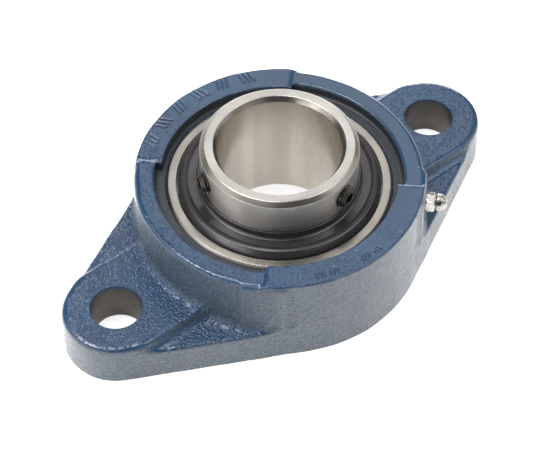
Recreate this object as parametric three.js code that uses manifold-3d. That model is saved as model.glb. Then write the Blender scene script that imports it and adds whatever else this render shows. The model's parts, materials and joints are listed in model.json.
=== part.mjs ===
// Two-bolt flange mount bearing for a 45 mm shaft: a cast flange housing with a spherical seat, and a
// self-aligning deep-groove ball bearing insert that a shaft is gripped in by two set screws.
//
// Millimetres, +Z up. The origin is where the bearing axis meets the flange's mounting face, +X runs towards
// one bolt lug, and +Z points out of the front, where the inner ring stands proud.

import * as THREE from "three";
import { mergeVertices } from "three/addons/utils/BufferGeometryUtils.js";
import Module from "manifold-3d";

// Housing
const boltSpacing = 148;
const boltHoleRadius = 9.5;
const lugRadius = 20;
const bodyRadius = 54;
const webHeight = 12;
const padHeight = 17;
const frontHeight = 36.5;
const markPadHeight = 37;
const frontEdgeRadius = 52.8;
const seatHeight = 22;
const ledgeHeight = 32.8;
const counterboreRadius = 43;
const recessRadius = 45.2;
const backCavityRadius = 44.5;
const backCavityDepth = 7;
const seatBackHeight = 10;
const slotWidth = 23;
const slotTop = 26;
const slotRadius = 44.2;
const bossAngles = [-45, -135];
const bossFace = 53.2;
const bossWidth = 16;
const bossTop = 34;

// Bearing insert, with heights measured from its own mid plane
const sphereRadius = 42.5;
const outerHalfWidth = 11;
const outerLandRadius = 36.6;
const innerBoreRadius = 22.5;
const innerLandRadius = 28.7;
const innerFront = 30.2;
const innerBack = -19;
const pitchRadius = 32.5;
const ballCount = 10;
const ballRadius = 6.35;
const raceRadius = 6.55;
const grooveHeight = 6;
const grooveDepth = 0.7;

// Seals and slingers
const plateThickness = 0.8;
const sealSeatRadius = 38.4;
const sealSeatLow = 8;
const sealSeatHigh = 9.4;
const sealMouthRadius = 37.5;
const slingerRadius = 37.1;
const slingerDisc = 13;
const slingerCollarTop = 16;

// Cage
const cageInnerRadius = 30.3;
const cageOuterRadius = 34.7;
const cageGap = 0.15;
const cagePocketRadius = 6.5;
const rivetRadius = 0.9;
const rivetHeadRadius = 1.6;

// Set screws, M8, in the protruding end of the inner ring
const screwHeight = 22.2;
const screwRadius = 3.85;
const screwLength = 8.3;
const screwStart = 22.8;
const screwAngles = [-76, 164];
const screwSocket = 4;

// Locating pin between outer ring and housing
const pinRadius = 2;
const pinStart = 40.8;
const pinEnd = 43.7;

// Grease nipple, radial in the body wall
const nippleAngle = -45;
const nippleHeight = seatHeight + grooveHeight;
const nippleHoleRadius = 3;
const nippleShankStart = 44.5;
const nippleHexStart = bossFace + 0.3;
const nippleHexLength = 3.5;
const nippleHexFlats = 7;
const nippleTip = 61.9;
const nippleBore = 1.25;
const nippleMouth = 0.7;
const nippleBallRadius = 1;

const gap = 0.3;
const deg = Math.PI / 180;

const wasm = await Module();
wasm.setup();

// ---- geometry helpers ----

function signedVolume(position, index) {
  const a = new THREE.Vector3();
  const b = new THREE.Vector3();
  const c = new THREE.Vector3();
  let sum = 0;
  for (let i = 0; i < index.length; i += 3) {
    a.fromBufferAttribute(position, index[i]);
    b.fromBufferAttribute(position, index[i + 1]);
    c.fromBufferAttribute(position, index[i + 2]);
    sum += a.dot(b.cross(c)) / 6;
  }
  return sum;
}

// Merges shared vertices, drops collapsed triangles and turns the faces outwards.
function closed(source) {
  const bare = source.clone();
  bare.deleteAttribute("normal");
  bare.deleteAttribute("uv");
  const merged = mergeVertices(bare, 1e-4);
  const old = merged.index.array;
  const index = [];
  for (let i = 0; i < old.length; i += 3) {
    const [a, b, c] = [old[i], old[i + 1], old[i + 2]];
    if (a !== b && b !== c && c !== a) index.push(a, b, c);
  }
  if (signedVolume(merged.attributes.position, index) < 0) index.reverse();
  merged.setIndex(index);
  return merged;
}

function solidOf(geometry) {
  const clean = closed(geometry);
  return new wasm.Manifold(new wasm.Mesh({
    numProp: 3,
    vertProperties: new Float32Array(clean.attributes.position.array),
    triVerts: new Uint32Array(clean.index.array),
  }));
}

function geometryOf(solid) {
  const mesh = solid.getMesh();
  const geometry = new THREE.BufferGeometry();
  geometry.setAttribute("position", new THREE.BufferAttribute(mesh.vertProperties, 3));
  geometry.setIndex(new THREE.BufferAttribute(mesh.triVerts, 1));
  return geometry;
}

// A body of revolution about Z from [radius, height] pairs.
function revolved(profile, segments) {
  const points = profile.map(([radius, height]) => new THREE.Vector2(radius, height));
  return new THREE.LatheGeometry(points, segments).rotateX(Math.PI / 2);
}

// A ring of revolution: its profile closes on itself.
function ring(profile, segments) {
  return closed(revolved([...profile, profile[0]], segments));
}

// A cylinder along +X, from one distance to another.
function radialCylinder(radius, from, to, sides) {
  const cylinder = new THREE.CylinderGeometry(radius, radius, to - from, sides);
  return cylinder.rotateZ(-Math.PI / 2).translate((from + to) / 2, 0, 0);
}

function extruded(shape, bottom, top, arcSteps) {
  const options = { depth: top - bottom, bevelEnabled: false, curveSegments: arcSteps };
  return new THREE.ExtrudeGeometry(shape, options).translate(0, 0, bottom);
}

// Points of a circular arc in a profile, with angles in degrees from the +radius direction.
function arc(centreRadius, centreHeight, radius, from, to, steps) {
  return Array.from({ length: steps + 1 }, (_, i) => {
    const angle = (from + (to - from) * i / steps) * deg;
    return [centreRadius + radius * Math.cos(angle), centreHeight + radius * Math.sin(angle)];
  });
}

function mesh(name, geometry, material) {
  const result = new THREE.Mesh(geometry, material);
  result.name = name;
  return result;
}

// ---- materials ----

function finish(color, roughness, metalness) {
  return new THREE.MeshStandardMaterial({ color, roughness, metalness });
}

const bluePaint = finish(0x2f5f92, 0.5, 0);
const groundSteel = finish(0xb5b2ac, 0.35, 1);
const hardenedSteel = finish(0x9c9a96, 0.35, 1);
const darkPlate = finish(0x24262a, 0.45, 0.6);
const cageSteel = finish(0x8f8c84, 0.5, 1);
const blackOxide = finish(0x1d1c1b, 0.5, 0.8);
const brightZinc = finish(0xc8c4b4, 0.3, 1);
const nitrile = finish(0x191919, 0.8, 0);

// ---- housing ----

// Hull of the round body and the two lugs: four arcs joined by their common tangents.
function flangeOutline() {
  const lugX = boltSpacing / 2;
  const tangent = Math.acos((bodyRadius - lugRadius) / lugX);
  const outline = new THREE.Shape();
  outline.absarc(lugX, 0, lugRadius, -tangent, tangent, false);
  outline.absarc(0, 0, bodyRadius, tangent, Math.PI - tangent, false);
  outline.absarc(-lugX, 0, lugRadius, Math.PI - tangent, Math.PI + tangent, false);
  outline.absarc(0, 0, bodyRadius, Math.PI + tangent, 2 * Math.PI - tangent, false);
  return outline;
}

// Raised tongue from the body to the end of the lug on the +X side, a hair inside the flange's outline.
function tongueOutline() {
  const lugX = boltSpacing / 2;
  const half = lugRadius - 0.1;
  const outline = new THREE.Shape();
  outline.moveTo(0, -half);
  outline.absarc(lugX, 0, half, -Math.PI / 2, Math.PI / 2, false);
  outline.lineTo(0, half);
  return outline;
}

function sectorOutline(inner, outer, middle) {
  const outline = new THREE.Shape();
  outline.absarc(0, 0, outer, (middle - 45) * deg, (middle + 45) * deg, false);
  outline.absarc(0, 0, inner, (middle + 45) * deg, (middle - 45) * deg, true);
  return outline;
}

function bodyBlock() {
  return revolved([
    [0, 1],
    [bodyRadius - 0.1, 1],
    [bodyRadius - 0.5, webHeight],
    [frontEdgeRadius + 0.1, frontHeight - 1.5],
    [frontEdgeRadius - 1, frontHeight],
    [0, frontHeight],
  ], 72);
}

// Everything the insert needs: the back cavity, the spherical seat and the front counterbore.
function seatCavity() {
  const seatRadius = sphereRadius + gap;
  const low = Math.asin((seatBackHeight - seatHeight) / seatRadius) / deg;
  const high = Math.asin((ledgeHeight - seatHeight) / seatRadius) / deg;
  return revolved([
    [0, -1],
    [backCavityRadius, -1],
    [backCavityRadius, backCavityDepth],
    ...arc(0, seatHeight, seatRadius, low, high, 6),
    [counterboreRadius, ledgeHeight],
    [counterboreRadius, markPadHeight + 1],
    [0, markPadHeight + 1],
  ], 72);
}

// The two loading slots that let the insert in sideways, open towards the back.
function loadingSlots() {
  const disc = solidOf(new THREE.CylinderGeometry(slotRadius, slotRadius, slotTop + 1, 72)
    .rotateX(Math.PI / 2).translate(0, 0, (slotTop - 1) / 2));
  const strip = solidOf(new THREE.BoxGeometry(2 * bodyRadius, slotWidth, slotTop + 3)
    .translate(0, 0, slotTop / 2));
  return disc.intersect(strip);
}

function housing() {
  let cast = solidOf(extruded(flangeOutline(), 0, webHeight, 9)).add(solidOf(bodyBlock()));
  for (const turn of [0, Math.PI]) {
    const tongue = extruded(tongueOutline(), webHeight / 2, padHeight, 9).rotateZ(turn);
    cast = cast.add(solidOf(tongue));
  }
  for (const middle of [90, 270]) {
    const pad = extruded(sectorOutline(38, frontEdgeRadius, middle), ledgeHeight, markPadHeight, 9);
    cast = cast.add(solidOf(pad));
  }
  for (const angle of bossAngles) {
    const boss = new THREE.BoxGeometry(10, bossWidth, bossTop - webHeight / 2);
    boss.translate(bossFace - 5, 0, (bossTop + webHeight / 2) / 2);
    cast = cast.add(solidOf(boss.rotateZ(angle * deg)));
  }
  cast = cast.subtract(solidOf(seatCavity()));
  for (const middle of [0, 180]) {
    const recess = extruded(sectorOutline(38, recessRadius, middle), ledgeHeight, markPadHeight + 1, 9);
    cast = cast.subtract(solidOf(recess));
  }
  cast = cast.subtract(loadingSlots());
  for (const side of [-1, 1]) {
    const bolt = new THREE.CylinderGeometry(boltHoleRadius, boltHoleRadius, padHeight + 2, 36);
    cast = cast.subtract(solidOf(bolt.rotateX(Math.PI / 2)
      .translate(side * boltSpacing / 2, 0, padHeight / 2)));
  }
  const greaseHole = radialCylinder(nippleHoleRadius, sphereRadius - 2, bodyRadius + 2, 16)
    .translate(0, 0, nippleHeight).rotateZ(nippleAngle * deg);
  return geometryOf(cast.subtract(solidOf(greaseHole)));
}

// ---- rings of the insert ----

function sphereAt(height) {
  return [Math.sqrt(sphereRadius ** 2 - height ** 2), height];
}

// One half of a stepped seal seat, from the face inwards; side is 1 at the front and -1 at the back.
function sealSeat(side) {
  return [
    [sealMouthRadius, side * outerHalfWidth],
    [sealMouthRadius, side * sealSeatHigh],
    [sealSeatRadius, side * sealSeatHigh],
    [sealSeatRadius, side * sealSeatLow],
    [outerLandRadius, side * sealSeatLow],
  ];
}

function outerRing() {
  const raceEdge = Math.acos((outerLandRadius - pitchRadius) / raceRadius) / deg;
  const grooveLow = sphereAt(grooveHeight - 0.8);
  const grooveHigh = sphereAt(grooveHeight + 0.8);
  const blank = solidOf(ring([
    ...sealSeat(1),
    ...arc(pitchRadius, 0, raceRadius, raceEdge, -raceEdge, 6),
    ...sealSeat(-1).reverse(),
    ...[-outerHalfWidth, -7, -3.5, 0, 3].map(sphereAt),
    grooveLow,
    [grooveLow[0] - grooveDepth, grooveLow[1]],
    [grooveLow[0] - grooveDepth, grooveHigh[1]],
    grooveHigh,
    sphereAt(outerHalfWidth),
  ], 48));
  const pinHole = solidOf(radialCylinder(pinRadius + gap, pinStart - gap, sphereRadius + 1, 12));
  const greaseHole = radialCylinder(0.9, outerLandRadius - 1, sphereRadius + 1, 6);
  greaseHole.translate(0, 0, grooveHeight);
  return geometryOf(blank.subtract(pinHole)
    .subtract(solidOf(greaseHole.clone().rotateZ(62 * deg)))
    .subtract(solidOf(greaseHole.clone().rotateZ(242 * deg))));
}

function innerRing() {
  const raceEdge = Math.acos((pitchRadius - innerLandRadius) / raceRadius) / deg;
  let blank = solidOf(ring([
    [innerBoreRadius, innerBack + 1.5],
    [innerBoreRadius + 1.5, innerBack],
    [innerLandRadius - 0.9, innerBack],
    [innerLandRadius, innerBack + 0.9],
    ...arc(pitchRadius, 0, raceRadius, 180 + raceEdge, 180 - raceEdge, 6),
    [innerLandRadius, innerFront - 0.9],
    [innerLandRadius - 1.3, innerFront],
    [innerBoreRadius + 1.6, innerFront],
    [innerBoreRadius, innerFront - 1.6],
  ], 48));
  for (const angle of screwAngles) {
    const thread = radialCylinder(screwRadius + gap, innerBoreRadius - 2, innerLandRadius + 2, 20);
    blank = blank.subtract(solidOf(thread.translate(0, 0, screwHeight).rotateZ(angle * deg)));
  }
  return geometryOf(blank);
}

// ---- seals and slingers, drawn for the front side ----

// Pressed steel disc that turns with the inner ring and throws dirt outwards.
function slinger() {
  const inside = innerLandRadius + gap;
  const collar = inside + plateThickness;
  return ring([
    [inside, slingerCollarTop],
    [inside, slingerDisc - plateThickness],
    [slingerRadius - 2, slingerDisc - plateThickness],
    [slingerRadius - 0.5, slingerDisc - 2.6],
    [slingerRadius, slingerDisc - 2],
    [slingerRadius - 1.5, slingerDisc],
    [collar, slingerDisc],
    [collar, slingerCollarTop],
  ], 48);
}

function sealCore() {
  const low = sealSeatLow + gap;
  return ring([
    [innerLandRadius + 2.5, low],
    [sealSeatRadius - gap, low],
    [sealSeatRadius - gap, low + plateThickness],
    [innerLandRadius + 2.5, low + plateThickness],
  ], 36);
}

function sealLip() {
  return ring([
    [innerLandRadius + gap, sealSeatLow],
    [innerLandRadius + 2.2, sealSeatLow],
    [innerLandRadius + 2.2, sealSeatHigh],
    [innerLandRadius + gap, sealSeatHigh + 0.3],
  ], 36);
}

// ---- cage ----

// Distances along the pitch circle and heights of one half pocket, inside surface first, outside second.
function cageStations() {
  const sheet = 1;
  const outside = cagePocketRadius + sheet;
  const pocket = [90, 65, 42, 22].map((angle) => {
    const [cos, sin] = [Math.cos(angle * deg), Math.sin(angle * deg)];
    return [cagePocketRadius * cos, cagePocketRadius * sin, outside * cos, outside * sin];
  });
  const top = cageGap + sheet;
  pocket.push([cagePocketRadius, cageGap, Math.sqrt(outside ** 2 - top ** 2), top]);
  return pocket;
}

// One ribbon of the cage: pockets arched over the balls, flats between them for the rivets.
function cageHalf() {
  const half = cageStations();
  const pocket = [...half.slice(1).reverse().map(([s, h, t, k]) => [-s, h, -t, k]), ...half];
  const [, flatLow, , flatHigh] = half.at(-1);
  const positions = [];
  const put = (radius, angle, height) => {
    positions.push(radius * Math.cos(angle), radius * Math.sin(angle), height);
  };
  for (let ball = 0; ball < ballCount; ball++) {
    const middle = 2 * Math.PI * ball / ballCount;
    const mid = Math.PI / ballCount;
    const stations = pocket.map(([s, low, t, high]) => [
      middle + Math.asin(s / pitchRadius), low, middle + Math.asin(t / pitchRadius), high]);
    stations.push([middle + mid, flatLow, middle + mid, flatHigh]);
    for (const [lowAngle, low, highAngle, high] of stations) {
      put(cageInnerRadius, lowAngle, low);
      put(cageOuterRadius, lowAngle, low);
      put(cageOuterRadius, highAngle, high);
      put(cageInnerRadius, highAngle, high);
    }
  }
  const count = positions.length / 12;
  const index = [];
  for (let station = 0; station < count; station++) {
    const next = (station + 1) % count;
    for (let side = 0; side < 4; side++) {
      const [a, b] = [4 * station + side, 4 * station + (side + 1) % 4];
      const [c, d] = [4 * next + side, 4 * next + (side + 1) % 4];
      index.push(a, b, d, a, d, c);
    }
  }
  const ribbon = new THREE.BufferGeometry();
  ribbon.setAttribute("position", new THREE.Float32BufferAttribute(positions, 3));
  ribbon.setIndex(index);
  let blank = solidOf(ribbon);
  for (let rivet = 0; rivet < ballCount; rivet++) {
    const hole = new THREE.CylinderGeometry(rivetRadius + gap, rivetRadius + gap, 4, 8)
      .rotateX(Math.PI / 2).translate(pitchRadius, 0, 1)
      .rotateZ(2 * Math.PI * (rivet + 0.5) / ballCount);
    blank = blank.subtract(solidOf(hole));
  }
  return geometryOf(blank);
}

function cageRivet() {
  const under = cageGap + 1 + gap;
  const top = under + 0.7;
  return closed(revolved([
    [0, -top],
    [rivetHeadRadius, -under],
    [rivetRadius, -under],
    [rivetRadius, under],
    [rivetHeadRadius, under],
    [0, top],
  ], 8));
}

// ---- small pieces ----

// Cup-point set screw along +X, socket outwards.
function setScrew() {
  const end = screwStart + screwLength;
  const shank = revolved([
    [0, screwStart + 0.8],
    [screwRadius - 1.6, screwStart],
    [screwRadius, screwStart + 1.2],
    [screwRadius, end - 0.6],
    [screwRadius - 0.6, end],
    [0, end],
  ], 20).rotateY(Math.PI / 2);
  const socketRadius = screwSocket / Math.sqrt(3);
  return geometryOf(solidOf(shank).subtract(solidOf(radialCylinder(socketRadius, end - 4, end + 1, 6))));
}

function locatingPin() {
  return closed(revolved([
    [0, pinStart],
    [pinRadius, pinStart],
    [pinRadius, pinEnd - 0.4],
    [pinRadius - 0.4, pinEnd],
    [0, pinEnd],
  ], 16).rotateY(Math.PI / 2));
}

function nippleBody() {
  const neck = nippleHexStart + nippleHexLength;
  const turned = solidOf(revolved([
    [0, nippleShankStart],
    [nippleHoleRadius - gap, nippleShankStart],
    [nippleHoleRadius - gap, nippleHexStart],
    [2.4, nippleHexStart + 1],
    [2.4, neck + 1.2],
    [3.2, neck + 2],
    [3.2, neck + 2.8],
    [1.9, nippleTip],
    [0, nippleTip],
  ], 16).rotateY(Math.PI / 2));
  const hexRadius = nippleHexFlats / Math.sqrt(3);
  const hex = solidOf(radialCylinder(hexRadius, nippleHexStart, neck, 6));
  const bore = solidOf(radialCylinder(nippleBore, nippleShankStart - 1, nippleTip - 0.8, 12));
  const mouth = solidOf(radialCylinder(nippleMouth, nippleTip - 1, nippleTip + 1, 12));
  return geometryOf(turned.add(hex).subtract(bore).subtract(mouth));
}

function nippleBall() {
  return closed(new THREE.IcosahedronGeometry(nippleBallRadius, 1)
    .translate(nippleTip - 0.8 - gap - nippleBallRadius, 0, 0));
}

// Compression spring behind the check ball, along +X.
function nippleSpring() {
  const turns = 4;
  const start = nippleShankStart + 8;
  const length = nippleTip - 0.8 - 2 * gap - 2 * nippleBallRadius - start - 0.4;
  const path = new THREE.CatmullRomCurve3(Array.from({ length: 8 * turns + 1 }, (_, i) => {
    const angle = i * Math.PI / 4;
    return new THREE.Vector3(start + length * i / (8 * turns), 0.75 * Math.cos(angle), 0.75 * Math.sin(angle));
  }));
  const wire = new THREE.Shape().absarc(0, 0, 0.15, 0, 2 * Math.PI, false);
  const options = { steps: 8 * turns, extrudePath: path, curveSegments: 3, bevelEnabled: false };
  return closed(new THREE.ExtrudeGeometry(wire, options));
}

// ---- assembly ----

function insert() {
  const group = new THREE.Group();
  group.position.z = seatHeight;
  group.add(mesh("outer_ring", outerRing(), hardenedSteel));
  group.add(mesh("inner_ring", innerRing(), groundSteel));
  group.add(mesh("locating_pin", locatingPin(), hardenedSteel));
  for (const [side, turn] of [["front", 0], ["back", Math.PI]]) {
    const end = new THREE.Group();
    end.rotation.x = turn;
    end.add(mesh(`${side}_slinger`, slinger(), darkPlate));
    end.add(mesh(`${side}_seal_core`, sealCore(), cageSteel));
    end.add(mesh(`${side}_seal_lip`, sealLip(), nitrile));
    end.add(mesh(`cage_${side}`, cageHalf(), cageSteel));
    group.add(end);
  }
  for (let i = 0; i < ballCount; i++) {
    const spoke = new THREE.Group();
    spoke.rotation.z = 2 * Math.PI * i / ballCount;
    const ball = mesh(`ball_${i + 1}`, closed(new THREE.IcosahedronGeometry(ballRadius, 2)), hardenedSteel);
    ball.position.x = pitchRadius;
    const rivet = mesh(`cage_rivet_${i + 1}`, cageRivet(), cageSteel);
    rivet.position.set(
      pitchRadius * Math.cos(Math.PI / ballCount), pitchRadius * Math.sin(Math.PI / ballCount), 0);
    spoke.add(ball, rivet);
    group.add(spoke);
  }
  screwAngles.forEach((angle, i) => {
    const screw = mesh(`set_screw_${i + 1}`, setScrew(), blackOxide);
    screw.rotation.z = angle * deg;
    screw.position.z = screwHeight;
    group.add(screw);
  });
  return group;
}

function nipple() {
  const group = new THREE.Group();
  group.position.z = nippleHeight;
  group.rotation.z = nippleAngle * deg;
  group.add(mesh("grease_nipple_body", nippleBody(), brightZinc));
  group.add(mesh("nipple_check_ball", nippleBall(), hardenedSteel));
  group.add(mesh("nipple_spring", nippleSpring(), cageSteel));
  return group;
}

const bearingUnit = new THREE.Group();
bearingUnit.add(mesh("housing", housing(), bluePaint));
bearingUnit.add(insert());
bearingUnit.add(nipple());

export default bearingUnit;
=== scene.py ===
import json
import math

import bpy
import numpy as np
from mathutils import Matrix, Vector


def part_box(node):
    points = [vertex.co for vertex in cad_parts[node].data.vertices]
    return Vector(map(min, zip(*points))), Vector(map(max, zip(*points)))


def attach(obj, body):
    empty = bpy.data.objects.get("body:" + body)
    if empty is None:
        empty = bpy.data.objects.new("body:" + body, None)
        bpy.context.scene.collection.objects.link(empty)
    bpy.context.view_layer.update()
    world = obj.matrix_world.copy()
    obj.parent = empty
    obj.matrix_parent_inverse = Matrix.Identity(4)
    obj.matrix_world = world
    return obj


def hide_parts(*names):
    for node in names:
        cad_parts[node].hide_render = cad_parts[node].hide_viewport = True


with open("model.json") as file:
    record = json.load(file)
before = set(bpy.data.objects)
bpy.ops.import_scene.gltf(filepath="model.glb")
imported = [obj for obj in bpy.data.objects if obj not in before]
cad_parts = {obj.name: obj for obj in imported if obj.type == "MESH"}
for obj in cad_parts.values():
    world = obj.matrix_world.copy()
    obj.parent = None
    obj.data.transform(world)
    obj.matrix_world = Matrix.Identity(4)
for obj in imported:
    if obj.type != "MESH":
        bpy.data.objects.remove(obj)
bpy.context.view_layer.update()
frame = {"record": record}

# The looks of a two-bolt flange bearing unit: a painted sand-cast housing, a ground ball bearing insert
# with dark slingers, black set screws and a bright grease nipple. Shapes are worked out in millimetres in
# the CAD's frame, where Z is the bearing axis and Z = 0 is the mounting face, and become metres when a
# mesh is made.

MM = 0.001


def box_mm(node):
    low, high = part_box(node)
    return np.array(low) / MM, np.array(high) / MM


def mount_mm(name):
    mount = next(m for m in frame["record"]["mounts"] if m["name"] == name)
    return np.array(mount["pos_m"]) / MM


# ---- driving sizes in millimetres and degrees, from the frame where it has them ----

HOUSING_HIGH = box_mm("housing")[1]
INNER_LOW, INNER_HIGH = box_mm("inner_ring")
OUTER_LOW, OUTER_HIGH = box_mm("outer_ring")
CENTRE_Z = (OUTER_LOW[2] + OUTER_HIGH[2]) / 2
HALF_WIDTH = (OUTER_HIGH[2] - OUTER_LOW[2]) / 2

# The casting's outside.
BODY_R = HOUSING_HIGH[1]
FRONT_R = 52.8
RAISED_TOP = HOUSING_HIGH[2]
PLAIN_TOP = RAISED_TOP - 0.5
STEP_SLOPE = 2.4
DRAFT = (BODY_R - FRONT_R) / PLAIN_TOP
LUG_X, _, PAD_TOP = mount_mm("bolt_seat_right")
LUG_R = HOUSING_HIGH[0] - LUG_X
TONGUE_SLOPE = 0.5
WEB_TOP = 13.2
BOLT_R = 9.3
BOSS_ANGLES = (-45, -135)
BOSS_FACE = 53.4
BOSS_HALF = 8.3
BOSS_TOP = 36.2

# Radii of its edges and fillets.
LUG_EDGE = 1.7
TONGUE_EDGE = 0.9
TONGUE_FILLET = 1.8
BODY_FILLET = 3.2
BOSS_EDGE = 1.2
BOSS_TOP_EDGE = 2.2
BOSS_FILLET = 1.5
PLAIN_EDGE = 2.0
RAISED_EDGE = 0.6
STEP_EDGE = 0.5
RAISED_RIM = 0.45
PLAIN_RIM_EXTRA = 0.9
HOLLOW_RIM = 0.6

# The skin leaves room for a sand casting's swell and ripple inside the CAD's surface.
SKIN = 0.08
SWELL = 0.05
RIPPLE = 0.01
MILLED_OFF = 1.2

# Raised bars and dashes on the front, as (azimuth, lean) of each group of dashes.
MARK_RISE = 0.5
BAR_REACH = 49.3
BAR_SPACING = 1.9
BAR_LEAN = 16
DASH_REACH = 49.4
DASH_SPACING = 1.35
DASH_GROUPS = ((-112, 10), (-106, -15), (-91, -20), (-85, 15))

# The casting's inside.
SEAT_R = 42.62
SEAT_BACK_Z = 10.0
SEAT_BACK_R = 41.08
LEDGE_Z = 32.6
LEDGE_INNER_R = 41.75
COUNTERBORE_R = 43.0
RECESS_R = 45.2
BACK_R = 44.5
BACK_DEPTH = 7.0
SLOT_HALF = 11.5
SLOT_R = 44.2
SLOT_TOP = 26.0

# The bearing insert.
BORE_R = 22.5
LAND_R = INNER_HIGH[0]
OUTER_LAND_R = 36.6
OUTER_FACE_R = 40.5
SPHERE_R = 42.5
PITCH_R = 32.5
RACE_R = 6.5
BALL_R = 6.35
BALLS = 10
SCREW_ANGLES = (-76, 164)
SCREW_Z = 44.2
SCREW_R = 4.0
SCREW_POINT = 22.85
SCREW_LENGTH = 8.2
GREASE_ANGLES = (62, 242)
NIPPLE_ANGLE = -45
NIPPLE_Z = 28.0
NIPPLE_TIP = 61.4
NIPPLE_MOUTH = 0.9
CHECK_BALL_R = 1.0


# ---- distance functions, all in millimetres, negative inside ----

def round_cut(a, b, radius):
    """What a and b share, with its convex edge rounded."""
    u = np.maximum(radius + a, 0)
    v = np.maximum(radius + b, 0)
    return np.minimum(-radius, np.maximum(a, b)) + np.sqrt(u * u + v * v)


def round_join(a, b, radius):
    """a and b together, with a fillet in the corner between them."""
    return -round_cut(-a, -b, radius)


def flange_outline(ax, ay):
    """Hull of the body circle and a lug circle, for coordinates folded into one quarter."""
    slope = (BODY_R - LUG_R) / LUG_X
    rise = math.sqrt(1 - slope * slope)
    along = rise * ax - slope * ay
    flank = rise * ay + slope * ax - BODY_R
    body = np.hypot(ax, ay) - BODY_R
    lug = np.hypot(ax - LUG_X, ay) - LUG_R
    return np.where(along < 0, body, np.where(along > rise * LUG_X, lug, flank))


def waves(wavelength, count, seed):
    """A smooth random field of about unit size, as a sum of plane waves."""
    rng = np.random.default_rng(seed)
    directions = rng.normal(size=(count, 3))
    directions /= np.linalg.norm(directions, axis=1)[:, None]
    numbers = directions * (2 * math.pi / wavelength) * rng.uniform(0.6, 1.4, (count, 1))
    phases = rng.uniform(0, 2 * math.pi, count)

    def field(x, y, z):
        total = 0
        for (kx, ky, kz), phase in zip(numbers, phases):
            total = total + np.sin(kx * x + ky * y + kz * z + phase)
        return total * math.sqrt(2 / count)

    return field


CAST_SWELL = waves(16, 7, 3)
CAST_RIPPLE = waves(3.5, 9, 4)


def lugs_field(ax, ay, z):
    """The flange with its two raised tongues and the lower webs beside them."""
    wall = flange_outline(ax, ay) + DRAFT * z
    slab = round_cut(wall, z - PAD_TOP, LUG_EDGE)
    tongue = np.hypot(np.maximum(ax - LUG_X, 0), ay) - LUG_R
    tongue = tongue + DRAFT * PAD_TOP + TONGUE_SLOPE * (z - PAD_TOP)
    pocket = round_cut(-tongue, WEB_TOP - z, TONGUE_FILLET)
    return round_cut(slab, -pocket, TONGUE_EDGE)


def body_field(x, y, z, ax, ay, rho):
    """The round body: two plain front sectors, two raised ones, and the bosses on its wall."""
    barrel = rho - (BODY_R - DRAFT * z)
    for angle in BOSS_ANGLES:
        cos, sin = math.cos(math.radians(angle)), math.sin(math.radians(angle))
        out = x * cos + y * sin
        across = np.abs(y * cos - x * sin)
        face = out - BOSS_FACE + 0.5 * DRAFT * (z - NIPPLE_Z)
        boss = round_cut(round_cut(face, across - BOSS_HALF, BOSS_EDGE), z - BOSS_TOP, BOSS_TOP_EDGE)
        barrel = round_join(barrel, np.maximum(boss, COUNTERBORE_R + 2 - out), BOSS_FILLET)
    plain = round_cut(barrel, z - PLAIN_TOP, PLAIN_EDGE)
    raised = round_cut(barrel, z - RAISED_TOP, RAISED_EDGE)
    ramp = ((ax - ay) / math.sqrt(2) + STEP_SLOPE * (z - PLAIN_TOP)) / math.hypot(1, STEP_SLOPE)
    return np.minimum(plain, round_cut(raised, ramp, STEP_EDGE))


def cavity_fields(ax, ay, z, rho):
    """The cast hollows: the front counterbore with its wider recesses, and then the back cavity with the
    loading slots and the centre."""
    front = round_cut(rho - COUNTERBORE_R, LEDGE_Z - z, 0.5)
    recess = round_cut(rho - RECESS_R, LEDGE_Z - z, 1.0)
    front = np.minimum(front, np.maximum(recess, (ay - ax) / math.sqrt(2)))
    taper = np.array([BACK_R - SEAT_BACK_R, SEAT_BACK_Z - BACK_DEPTH])
    taper = taper / np.linalg.norm(taper)
    cone = (rho - BACK_R) * taper[1] + (z - BACK_DEPTH) * taper[0]
    back = np.maximum(round_cut(rho - BACK_R, cone, 1.0), z - SEAT_BACK_Z)
    slot = round_cut(round_cut(ay - SLOT_HALF, rho - SLOT_R, 0.8), z - SLOT_TOP, 0.8)
    centre = rho - (SPHERE_R - 5)
    return front, np.minimum(np.minimum(back, slot), centre)


def housing_field(x, y, z):
    """The rough casting, which still has the layer below Z = 0 that is milled off."""
    ax, ay, rho = np.abs(x), np.abs(y), np.hypot(x, y)
    lugs = lugs_field(ax, ay, z)
    cast = round_join(lugs, body_field(x, y, z, ax, ay, rho), BODY_FILLET)
    limit = flange_outline(ax, ay) + DRAFT * z
    cast = np.maximum(cast, limit)
    front, hollow = cavity_fields(ax, ay, z, rho)
    rim = RAISED_RIM + PLAIN_RIM_EXTRA * np.clip((ax - ay) / 3, 0, 1)
    cast = round_cut(cast, -front, rim)
    cast = round_cut(cast, -hollow, HOLLOW_RIM)
    cast = np.maximum(cast, -MILLED_OFF - z)
    roughness = SWELL * CAST_SWELL(x, y, z) + RIPPLE * CAST_RIPPLE(x, y, z)
    return cast + SKIN + roughness


def graded(scale, *stops):
    """Grid lines from stops of (start, spacing before scaling). The last stop is the end."""
    spans = [np.arange(start, end, step * scale) for (start, step), (end, _) in zip(stops, stops[1:])]
    return np.concatenate(spans)


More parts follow.
